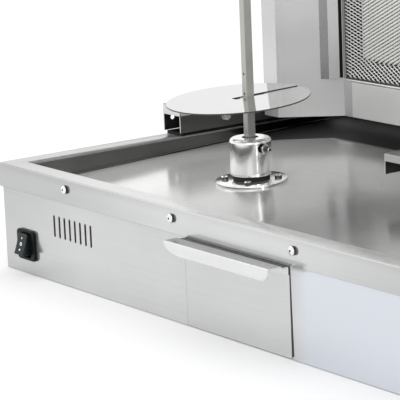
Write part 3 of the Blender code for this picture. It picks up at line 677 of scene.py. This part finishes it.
def make_handle():
    """Folded pull: a stepped shelf and a front lip with rounded lower corners."""
    low, high = low_high("drawer_handle")
    back, front, top = high.y, low.y, high.z
    step, drop = 0.0130, 0.0022
    lip = top - 0.0180
    path = [(back, top - 0.014), (back, top - drop - 0.0016)]
    path += arc((back - 0.0016, top - drop - 0.0016), 0.0016, 0, 90, 4)[1:]
    path += [(back - step + 0.0022, top - drop), (back - step - 0.0004, top),
             (front + 0.0016, top)]
    path += arc((front + 0.0016, top - 0.0016), 0.0016, 90, 180, 5)[1:]
    flat_count = len(path)
    path += [(front, lip + 0.0100), (front, lip)]
    quarter = [math.pi / 2 * i / 10 for i in range(11)]
    left, right = ([(edge + along * (1 - math.cos(a)), rise * (1 - math.sin(a)))
                    for a in quarter]
                   for edge, along, rise in ((low.x, 0.040, 0.0150), (high.x, -0.016, 0.0135)))
    work = bmesh.new()
    rings = []
    for x, rise in left + right[::-1]:
        shaped = list(path)
        shaped[flat_count] = (front, lip + max(0.0100, rise + 0.0008))
        shaped[flat_count + 1] = (front, lip + rise)
        outside, inside = sheet_section(shaped, 0.0015)
        ring = outside + inside[::-1]
        rings.append([work.verts.new((x, y, z)) for y, z in ring])
    join_rings(work, rings)
    for ring in (rings[0], rings[-1]):
        for i in range(len(ring) // 2 - 1):
            work.faces.new((ring[i], ring[i + 1], ring[-2 - i], ring[-1 - i]))
    handle = piece("drawer_pull", work, PULL, "drawer", BRUSHED, ["drawer_handle"], 30)
    # painted shade on the shelf's upward faces and in the step
    second_finish(handle, PULL_SHELF_SHADE, lambda normal, middle: normal.z > 0.9)
    second_finish(handle, PULL_STEP_SHADOW, lambda normal, middle:
                  normal.z > 0.3 and middle.y > back - step - 0.0006 and middle.z > top - 0.004)
    soften(handle, 0.0003, 2, 40)


def make_mouth_edge():
    """A painted shadow: a near-black sliver right of the drawer front for the gap, which opens
    towards a rounded lower end.
    """
    low, high = low_high("drawer_front")
    edge, wide, end = high.x + 0.0019, 0.0030, 0.0022
    outline = [(edge, high.z - 0.004), (edge, low.z + 0.003)]
    outline += arc((edge + wide - end, low.z + 0.003 + end), end, 270, 360, 5)
    outline += [(edge + 0.0004, high.z - 0.004)]
    piece("mouth_gap_shadow", slab(outline, "Y", PANEL_Y - 0.0004, 0.0005), NEAR_BLACK_SHADE, "base", BRUSHED)


def make_drawer():
    make_mouth_edge()
    finish_node("drawer_front", DRAWER_SHEET, 0.0002)
    finish_node("drawer_pan", SHEET_Y, 0.0004)
    make_handle()


# ---- switches ------------------------------------------------
ROCKER_LEAN = 17                # degrees, at rest


def make_switch(side):
    """Rocker switch: a bezel round a well, its barrel behind the panel, paddle and marks."""
    low, high = low_high(f"switch_body_{side}")
    middle_x, _, middle_z = middle_of(low, high)
    spot = (middle_x, middle_z)
    outer = rounded_box((high.x - low.x) / 2, (high.z - low.z) / 2, 0.0065)
    bezel = piece(f"switch_bezel_{side}", slab(outer, "Y", low.y, PANEL_Y - 0.0003 - low.y, spot),
                  PLASTIC, "base", MOULDING, [f"switch_body_{side}"])
    well = rounded_box(0.0138, 0.0190, 0.0026)
    cut_with(bezel, slab(well, "Y", low.y - 0.01, 0.01 + (PANEL_Y - low.y) + 0.01, spot),
             f"well_{side}")
    soften(bezel, 0.0014, 3, 35)

    shell = rounded_box(0.0178, 0.0211, 0.0020)
    barrel = piece(f"switch_barrel_{side}", slab(shell, "Y", PANEL_Y - 0.0002, 0.0198, spot),
                   PLASTIC, "base", MOULDING)
    hollow = rounded_box(0.0139, 0.0191, 0.0026)
    cut_with(barrel, slab(hollow, "Y", PANEL_Y - 0.002, 0.0185, spot), f"barrel_hollow_{side}")

    half_wide, half_tall, reach, dish = 0.0130, 0.01725, 0.0120, 0.0011
    turn = Matrix.Rotation(-math.radians(ROCKER_LEAN), 2)
    pivot = Vector((PANEL_Y - 0.003, middle_z))

    def on_face(t):
        """A place on the dished face; t runs from 1 at the top to -1 at the bottom."""
        return turn @ Vector((-reach + dish * (1 - t * t), half_tall * t)) + pivot

    steps = 12
    outline = [on_face(1 - 2 * i / steps) for i in range(steps + 1)]
    outline += [turn @ Vector(p) + pivot for p in arc((0, 0), half_tall - 0.0015, -90, 90, 12)]
    rocker = piece(f"rocker_paddle_{side}",
                   slab(outline, "X", middle_x - half_wide, 2 * half_wide), ROCKER_PLASTIC,
                   f"switch_paddle_{side}", MOULDING, [f"rocker_{side}"])
    soften(rocker, 0.0012, 3, 40)

    marks = bmesh.new()
    tilt = Matrix.Rotation(math.radians(-ROCKER_LEAN), 4, "X") @ facing((0, -1, 0))
    for t, inner, outer in ((0.54, 0.0, 0.0015), (0.0, 0.0014, 0.0029), (-0.54, 0.0, 0.0018)):
        place = Matrix.Translation((middle_x, *on_face(t))) @ tilt
        profile = [(inner, -0.0006), (outer, -0.0006), (outer, 0.00015), (inner, 0.00015)]
        turned(profile + (profile[:1] if inner else []), place, 28, marks)
    piece(f"rocker_marks_{side}", marks, MARK, f"switch_paddle_{side}", MOULDING)


# ---- drive and spit ------------------------------------------
PLATE_TURN, PLATE_HANG = -7, 3.1   # degrees
BAR_SHIFT = 0.0007                 # the lock screw pushes the bar off the hub's axis


def make_plate(side, x, y):
    """The mirror-bright plate, hanging down a little to the front, slotted to its rear edge."""
    radius, thick, offset, top = 0.111, 0.0020, 0.0182, 0.2743
    lean = (Matrix.Translation((x, y, top))
            @ Matrix.Rotation(math.radians(PLATE_TURN), 4, "Z")
            @ Matrix.Rotation(math.radians(PLATE_HANG), 4, "X"))
    home = lean @ Matrix.Translation((0, -offset, 0))
    profile = [(0.0, 0.0), (radius - 0.0004, 0.0), (radius, -0.0004),
               (radius, -thick + 0.0004), (radius - 0.0004, -thick), (0.0, -thick)]
    plate = piece(f"mirror_plate_{side}", turned(profile, home, 160), BRIGHT, f"plate_{side}",
                  POLISHED, [f"meat_plate_{side}"], 30)
    near, wide = -offset - 0.0080, 0.0072
    outline = [(wide, radius), (wide, near + 0.002)]
    outline += arc((wide - 0.002, near + 0.002), 0.002, 0, -90, 4)[1:]
    outline += arc((-wide + 0.002, near + 0.002), 0.002, -90, -180, 4)
    outline += [(-wide, radius)]
    cut_with(plate,
             prism([lean @ Vector(p) for p in flat(outline, "Z", -0.01)],
                   lean.to_3x3() @ Vector((0, 0, 0.02))), f"plate_slot_{side}")
    axis = lean.to_3x3() @ Vector((0, 0, 1))
    # painted shade: the plate's rim faces are near black
    second_finish(plate, EDGE, lambda normal, middle: abs(normal.dot(axis)) < 0.8)


def make_hub(side, x, y, low_z, top, bottom):
    """The rounded hub with its bore, and the lock screw in its seat."""
    radius = 0.0325
    bore, bore_bottom, shaft, rounding = 0.0123, 0.1630, 0.0120, 0.0065
    profile = [(0.0, bore_bottom), (bore, bore_bottom), (bore, top - 0.0008),
               (bore + 0.0008, top)]
    profile += arc((radius - rounding, top - rounding), rounding, 90, 0, 10)
    profile += [(radius, bottom + 0.0016), (radius - 0.0004, bottom + 0.0004),
                (radius - 0.0016, bottom), (shaft, bottom), (shaft, low_z), (0.0, low_z)]
    hub = piece(f"hub_{side}", turned(profile, Matrix.Translation((x, y, 0)), 128), TURNED,
                f"spindle_{side}", POLISHED, [f"drive_hub_{side}"], 28)
    across = Matrix.Translation((x, y, LOCK_Z)) @ facing((1, 0, 0))
    profile = [(0.0, 0.004), (0.0053, 0.004), (0.0053, 0.0255), (0.0092, 0.0255),
               (0.0092, 0.045), (0.0, 0.045)]
    cut_with(hub, turned(profile, across, 48), f"lock_seat_{side}")
    # painted shade inside the hub's bore
    second_finish(hub, NEAR_BLACK_SHADE, lambda normal, middle:
                  math.hypot(middle.x - x, middle.y - y) < bore + 0.0006
                  and middle.z > bore_bottom - 0.0001)

    profile = [(0.0, 0.0076), (0.0042, 0.0076), (0.0050, 0.0086), (0.0050, 0.0262),
               (0.0066, 0.0262), (0.0070, 0.0268), (0.0070, 0.0376), (0.0062, 0.0385),
               (0.0036, 0.0385), (0.0038, 0.0390), (0.0038, 0.0482), (0.0030, 0.0490),
               (0.0, 0.0490)]
    lock = piece(f"hub_screw_{side}", turned(profile, across, 48), FASTENER, f"hub_screw_{side}",
                 ZINCED, [f"hub_lock_screw_{side}"])
    recess = flat(hex_outline(0.0036), "Z", 0.0455)
    cut_with(lock, prism([across @ Vector(p) for p in recess], (0.01, 0, 0)), f"socket_{side}")
    # painted shade on the lock screw, all but its end face
    second_finish(lock, NEAR_BLACK_SHADE, lambda normal, middle: normal.x < 0.5)


def make_flange(side, x, y, hub_bottom):
    """The flange with its four bolts, flat on the sloping tray, and the seal on the shaft."""
    slope = math.atan(TRAY_SLOPE)
    base_z = TRAY_FLOOR_Z + TRAY_SLOPE * HUB_SETBACK + 0.0003 / math.cos(slope)
    place = Matrix.Translation((x, y, base_z)) @ Matrix.Rotation(slope, 4, "X")
    profile = [(0.014, 0.0), (0.014, 0.0086), (0.0146, 0.009), (0.0234, 0.009),
               (0.024, 0.0084), (0.024, 0.0052), (0.0246, 0.0042), (0.0258, 0.004),
               (0.0546, 0.004), (0.0556, 0.0036), (0.056, 0.0028), (0.056, 0.0), (0.014, 0.0)]
    piece(f"flange_{side}", turned(profile, place, 128), TURNED, "base", POLISHED,
          [f"bearing_flange_{side}"], 28)
    seal_low, seal_high = base_z + 0.0050, hub_bottom - 0.0006
    profile = [(0.0250, seal_low), (0.0286, seal_low), (0.0290, seal_low + 0.0006),
               (0.0282, seal_high), (0.0250, seal_high), (0.0250, seal_low)]
    piece(f"shaft_seal_{side}", turned(profile, Matrix.Translation((x, y, 0)), 96), RUBBER,
          "base", "black_rubber")
    for i in range(4):
        spot = place @ Matrix.Translation((*polar(0.042, math.radians(45 + 90 * i)), 0.004))
        profile = [(0.0, -0.0008), (0.0052, -0.0008), (0.0055, -0.0004), (0.0055, 0.0044),
                   (0.0046, 0.0055), (0.0, 0.0055)]
        bolt = piece(f"flange_bolt_{side}_{i}", turned(profile, spot, 36), FASTENER, "base",
                     ZINCED)
        recess = flat(hex_outline(0.0046, 0.3), "Z", 0.0028)
        cut_with(bolt,
                 prism([spot @ Vector(p) for p in recess], spot.to_3x3() @ Vector((0, 0, 0.01))),
                 f"bolt_socket_{side}_{i}")
        # painted shade on the sides of the bolt heads
        second_finish(bolt, BOLT_SIDE_SHADE, lambda normal, middle: normal.z < 0.5)


def make_drive(side):
    low, high = low_high(f"drive_hub_{side}")
    x, y, _ = middle_of(low, high)
    make_hub(side, x, y, low.z, high.z, HUB_BOTTOM)
    make_flange(side, x, y, HUB_BOTTOM)
    for name, *look in (("spit_gear", ZINC, 0.0002), ("motor_pinion", BRASS, 0.0002),
                        ("gear_motor", PAINT, 0.0006), ("spit_bar", BAR, 0.0003, 2, 25),
                        ("bar_shoulder", TURNED, 0.0003)):
        finish_node(f"{name}_{side}", *look)
    make_plate(side, x - BAR_SHIFT, y)


# ---- housing -------------------------------------------------
OPENING_LOW_Z, OPENING_HIGH_Z = 0.248, 0.862
OPENING_HALF = 0.133


def make_guard(side, panel_y):
    """Woven wire in a shallow tray shape: the middle stands back and the border slopes to it."""
    low, high = low_high(f"burner_guard_{side}")
    inset = 0.0015
    x0, x1, z0, z1 = low.x + inset, high.x - inset, low.z + inset, high.z - inset
    pitch, climb, wave = 0.0059, 0.5, 0.00045
    bold, slim, thin = 0.00220, 0.00105, 0.00060
    border, recess, part = 0.031, 0.0085, 0.0011
    verts, faces = [], []

    def add_wire(start_x, start_z, stop_x, family):
        """One wire; a family climbs to the right (1) or to the left (-1)."""
        length = stop_x - start_x
        count = max(2, int(round(length / pitch)) + 1)
        slope = family * climb
        tilt = Vector((-slope, 0, 1)).normalized()
        for i in range(count + 1):
            x = start_x + length * i / count
            z = start_z + (x - start_x) * slope
            edge = min(x - x0, x1 - x, z - z0, z1 - z)
            inside = edge > border
            y = (panel_y + 0.0030 + recess * min(1.0, max(0.0, edge / border))
                 - family * (1 if inside else -1) * part + wave * (1 if i % 2 else -1))
            in_front = inside == (family == 1)
            radius = (bold if inside else slim) if in_front else thin
            ring = len(verts)
            for dy, dz in ((-radius, 0), (0, radius), (radius, 0), (0, -radius)):
                verts.append((x + tilt.x * dz, y + dy, z + tilt.z * dz))
            if i == 0:
                faces.append((ring, ring + 1, ring + 2, ring + 3))
            else:
                for k in range(4):
                    m = (k + 1) % 4
                    faces.append((ring - 4 + k, ring - 4 + m, ring + m, ring + k))
        faces.append((ring + 3, ring + 2, ring + 1, ring))

    reach = (x1 - x0) * climb
    for family in (1, -1):
        first, last = (z0 - reach, z1) if family == 1 else (z0, z1 + reach)
        count = int((last - first) / pitch)
        for i in range(1, count):
            at = first + pitch * i
            xa, xb = x0, x1
            if family == 1:
                xa = max(x0, x0 + (z0 - at) / climb)
                xb = min(x1, x0 + (z1 - at) / climb)
            else:
                xa = max(x0, x0 + (at - z1) / climb)
                xb = min(x1, x0 + (at - z0) / climb)
            if xb - xa > 2 * pitch:
                add_wire(xa, at + (xa - x0) * family * climb, xb, family)
    mesh = bpy.data.meshes.new(f"woven_guard_{side}")
    mesh.from_pydata(verts, [], faces)
    mesh.materials.append(WIRE)
    mesh.update()
    mesh.shade_smooth()
    attach(put(f"woven_guard_{side}", mesh), f"carriage_{side}",
           [f"burner_guard_{side}"])

    work = bmesh.new()
    half_wide, half_tall, width = (high.x - low.x) / 2, (high.z - low.z) / 2, 0.003
    outer = rounded_box(half_wide, half_tall, 0.004, 4)
    inner = rounded_box(half_wide - width, half_tall - width, 0.003, 4)
    cx, _, cz = middle_of(low, high)
    rings = [[work.verts.new(p) for p in flat(ring, "Y", panel_y + behind, (cx, cz))]
             for ring, behind in ((outer, 0.0018), (inner, 0.0018),
                                  (inner, 0.0050), (outer, 0.0050))]
    join_rings(work, rings, closed=True)
    # painted shadow: the frame round the guard is near black
    piece(f"guard_frame_{side}", work, SHADED, f"carriage_{side}", MESH)


def make_opening_lip(side, middle, panel_y):
    """A rolled lip on the lower and upper edges of the opening."""
    for level, z, sign in (("lower", OPENING_LOW_Z, -1), ("upper", OPENING_HIGH_Z, 1)):
        ring = arc((panel_y - 0.0010, z + sign * 0.0012), 0.0018, 0, 360, 12)[:-1]
        rod = slab(ring, "X", middle - OPENING_HALF, 2 * OPENING_HALF)
        piece(f"opening_lip_{level}_{side}", rod, FASTENER, f"carriage_{side}", POLISHED)


def make_apron(side, middle, panel_y):
    """The folded sheet below the opening, a little proud of the panel."""
    shield_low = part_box(f"heat_shield_{side}")[0][2]
    half, low_z, high_z = PANEL_HALF - 0.022, shield_low + 0.0006, OPENING_LOW_Z - 0.0045
    section = [(panel_y - 0.0002, low_z), (panel_y - 0.0014, low_z),
               (panel_y - 0.0014, high_z - 0.0008), (panel_y - 0.0009, high_z),
               (panel_y - 0.0002, high_z)]
    apron = piece(f"burner_apron_{side}", slab(section, "X", middle - half, 2 * half), APRON,
                  f"carriage_{side}", BRUSHED)
    soften(apron, 0.0004, 2, 30)


def make_wing_strips(side, middle, panel_y):
    """The folded strip on each wing, beside the opening, and a near-black strip of painted shadow
    for the gap next to it.
    """
    corner = 0.008
    quarter = [math.pi / 2 * i / 6 for i in range(7)]
    levels = [(OPENING_LOW_Z + corner * (1 - math.cos(a)), corner * (1 - math.sin(a)))
              for a in quarter] + [(OPENING_HIGH_Z, 0.0)]
    section = ((0.0065, 0.0002), (0.0065, 0.0040), (0.0240, 0.0042), (0.0380, 0.0006),
               (0.0380, 0.0002))
    for hand, flip in HANDS:
        bend = Vector((middle + flip * PANEL_HALF, panel_y))
        run = Vector((flip * WING_RUN.x, -WING_RUN.y)).normalized()
        out = Vector((-flip * run.y, flip * run.x))
        if out.y > 0:
            out = -out
        work = bmesh.new()
        rings = []
        for z, inwards in levels:
            spots = [bend + run * (s + inwards if k < 2 else s) + out * h
                     for k, (s, h) in enumerate(section)]
            rings.append([work.verts.new((*spot, z)) for spot in spots])
        join_rings(work, rings)
        work.faces.new(rings[0])
        work.faces.new(rings[-1][::-1])
        strip = piece(f"wing_strip_{side}_{hand}", work, STRIP, f"carriage_{side}", POLISHED)
        face_out = Vector((out.x, out.y, 0))
        # painted shade on the strip's sloping face
        second_finish(strip, SHIELD_DARK,
                      lambda normal, middle: 0.5 < normal.dot(face_out) < 0.9985)
        spots = [bend + run * s + out * h for s, h in
                 ((0.0010, 0.0003), (0.0062, 0.0003), (0.0062, 0.0007), (0.0010, 0.0007))]
        piece(f"wing_reveal_{side}_{hand}",
              slab(spots, "Z", OPENING_LOW_Z + 0.001, OPENING_HIGH_Z - OPENING_LOW_Z - 0.002),
              REVEAL, f"carriage_{side}", POLISHED)
        soften(strip, 0.0005, 2, 12)


def make_knob(side, level):
    """A fluted gas knob with its grip bar and pointer, and the valve nut behind it."""
    low, high = low_high(f"gas_knob_{level}_{side}")
    cx, _, cz = middle_of(low, high)
    radius = (high.x - low.x) / 2
    segments, flutes, flute_depth = 96, 12, 0.055
    work = bmesh.new()
    rings = []
    for radius_share, back, fluted in ((0.0, 0.0, 0), (0.94, 0.0, 0), (1.0, 0.0010, 0),
                                       (1.0, 0.0040, 0), (0.97, 0.0052, 1), (0.92, 0.0130, 1),
                                       (0.86, 0.0145, 1), (0.60, 0.0150, 0), (0.0, 0.0150, 0)):
        ring = []
        for i in range(segments if radius_share else 1):
            a = math.tau * i / segments
            dip = fluted * flute_depth * (0.5 + 0.5 * math.cos(flutes * a)) ** 2
            x, z = polar(radius * (radius_share - dip), a, (cx, cz))
            ring.append(work.verts.new((x, low.y + back, z)))
        rings.append(ring)
    join_rings(work, rings)
    body = f"gas_tap_{level}_{side}"
    piece(f"tap_knob_{level}_{side}", work, PLASTIC, body, MOULDING, [f"gas_knob_{level}_{side}"])
    bar = rounded_box(0.0036, radius - 0.0022, 0.0030)
    grip = piece(f"tap_grip_{level}_{side}",
                 slab(bar, "Y", low.y + 0.0146, high.y - low.y - 0.0147, (cx, cz)), PLASTIC, body,
                 MOULDING)
    soften(grip, 0.0010, 3, 40)
    line = rounded_box(0.0007, 0.0032, 0.0006, 3)
    piece(f"tap_pointer_{level}_{side}",
          slab(line, "Y", high.y - 0.0006, 0.0005, (cx, cz + radius * 0.55)), MARK, body,
          MOULDING)
    nut = piece(f"valve_nut_{level}_{side}",
                slab(hex_outline(0.0230), "Y", low.y - 0.0090, 0.0055, (cx, cz)), BRASS,
                f"carriage_{side}", "brass")
    soften(nut, 0.0008, 2, 30)


LOUVRE_Z, LOUVRE_PITCH = 0.480, 0.016
LOUVRE_ASIDE, LOUVRE_LONG = 0.080, 0.070


def make_case(side, middle):
    """The louvres and screws on the back of the burner case."""
    body = f"carriage_{side}"
    _, high = low_high(f"burner_case_{side}")
    for row in range(6):
        section = arc((high.y, LOUVRE_Z + row * LOUVRE_PITCH), 0.0042, -90, 90, 8)
        for hand, flip in HANDS:
            start = middle + flip * LOUVRE_ASIDE - LOUVRE_LONG / 2
            louvre = piece(f"louvre_{side}_{hand}_{row}", slab(section, "X", start, LOUVRE_LONG),
                           SHEET_Z, body, BRUSHED)
            soften(louvre, 0.0012, 2, 50)
    for i, (dx, z) in enumerate((dx, z) for z in (0.225, 0.550, 0.880) for dx in (-0.128, 0.128)):
        place = Matrix.Translation((middle + dx, high.y, z)) @ facing((0, 1, 0))
        piece(f"case_screw_{side}_{i}", pan_head(place, 0.0042, 0.0022, 28), FASTENER, body,
              ZINCED)


def make_arm_ends(side, sign):
    """Flaps on the ends of both arms, painted highlights on their cut edges, and a strip of
    painted reflection on the outer arm beside its end.
    """
    body = f"carriage_{side}"
    for kind, drop in (("outer", 0.0160), ("inner", 0.0115)):
        low, high = low_high(f"{kind}_arm_{side}")
        outline = rounded_box((high.x - low.x) / 2 - 0.0004, drop / 2, 0.0012, 3)
        spot = ((low.x + high.x) / 2, high.z - 0.0004 - drop / 2)
        flap = piece(f"{kind}_arm_flap_{side}", slab(outline, "Y", low.y - 0.0011, 0.0010, spot),
                     FLAP, body, BRUSHED)
        soften(flap, 0.0003, 2, 40)
        # painted highlight: light strips on the cut edges of each arm's end
        for hand, edge, inwards in (("a", low.x, 1), ("b", high.x, -1)):
            x0, x1 = edge + inwards * 0.0001, edge + inwards * 0.0019
            z0, z1 = low.z + 0.0002, high.z - drop - 0.0006
            legs = [(x0, z0), (x1, z0), (x1, z1), (x0, z1)]
            piece(f"{kind}_arm_edge_{side}_{hand}", slab(legs, "Y", low.y - 0.0005, 0.0004), FLAP,
                  body, BRUSHED)
    # painted reflection: a light strip on the outer arm's inner side for its lit top face
    low, high = low_high(f"outer_arm_{side}")
    inner = high.x if sign < 0 else low.x
    start, stop = low.y + 0.0004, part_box(f"arm_lock_screw_{side}")[0][1] - 0.006
    outline = rounded_box((stop - start) / 2, 0.0078, 0.0006, 3)
    spot = ((start + stop) / 2, high.z - 0.0082)
    piece(f"outer_arm_lip_{side}",
          slab(outline, "X", inner - sign * 0.0001, -sign * 0.0005, spot), FLAP, body, BRUSHED)


def make_arm_bolt(side, sign):
    """The hexagon bolt that clamps the outer arm; its head faces the spit."""
    low, high = low_high(f"arm_lock_screw_{side}")
    _, cy, cz = middle_of(low, high)
    tip = low.x if sign > 0 else high.x
    across = Matrix.Translation((tip, cy, cz)) @ facing((-sign, 0, 0))
    head = [across @ Vector(p) for p in flat(hex_outline(0.0130), "Z", -0.0060)]
    look = (FASTENER, f"arm_screw_{side}", ZINCED)
    bolt = piece(f"arm_bolt_{side}", prism(head, (-sign * 0.0060, 0, 0)), *look,
                 [f"arm_lock_screw_{side}"])
    soften(bolt, 0.0009, 2, 30)
    length = high.x - low.x
    profile = [(0.0, -length), (0.0034, -length), (0.0040, -length + 0.0008),
               (0.0040, -0.0077), (0.0075, -0.0077), (0.0075, -0.0064), (0.0, -0.0064)]
    piece(f"arm_bolt_shank_{side}", turned(profile, across, 40), *look)


def make_housing(side, sign):
    low, high = low_high(f"burner_guard_{side}")
    middle, panel_y = (low.x + high.x) / 2, low.y
    for name, *look in (("heat_shield", SHIELD, 0.0005, 2, 20), ("burner_case", SHEET_Z, 0.0006),
                        ("burner_lower", CERAMIC, 0.0004), ("burner_upper", CERAMIC, 0.0004),
                        ("gas_manifold", BRASS, 0.0004), ("cross_bar", CROSS_BAR_SHADE, 0.0010),
                        ("inner_arm", SHADED, 0.0006, 3, 25),
                        ("outer_arm", SHADED, 0.0006, 3, 25), ("slide_strip", PLASTIC, 0.0006)):
        finish_node(f"{name}_{side}", *look)
    make_guard(side, panel_y)
    make_opening_lip(side, middle, panel_y)
    make_apron(side, middle, panel_y)
    make_wing_strips(side, middle, panel_y)
    for level in ("lower", "upper"):
        make_knob(side, level)
    make_case(side, middle)
    make_arm_ends(side, sign)
    make_arm_bolt(side, sign)


make_camera()
make_studio()
make_base()
make_drawer()
for side_name, side_sign in SIDES:
    make_switch(side_name)
    make_drive(side_name)
    make_housing(side_name, side_sign)

bpy.context.view_layer.update()
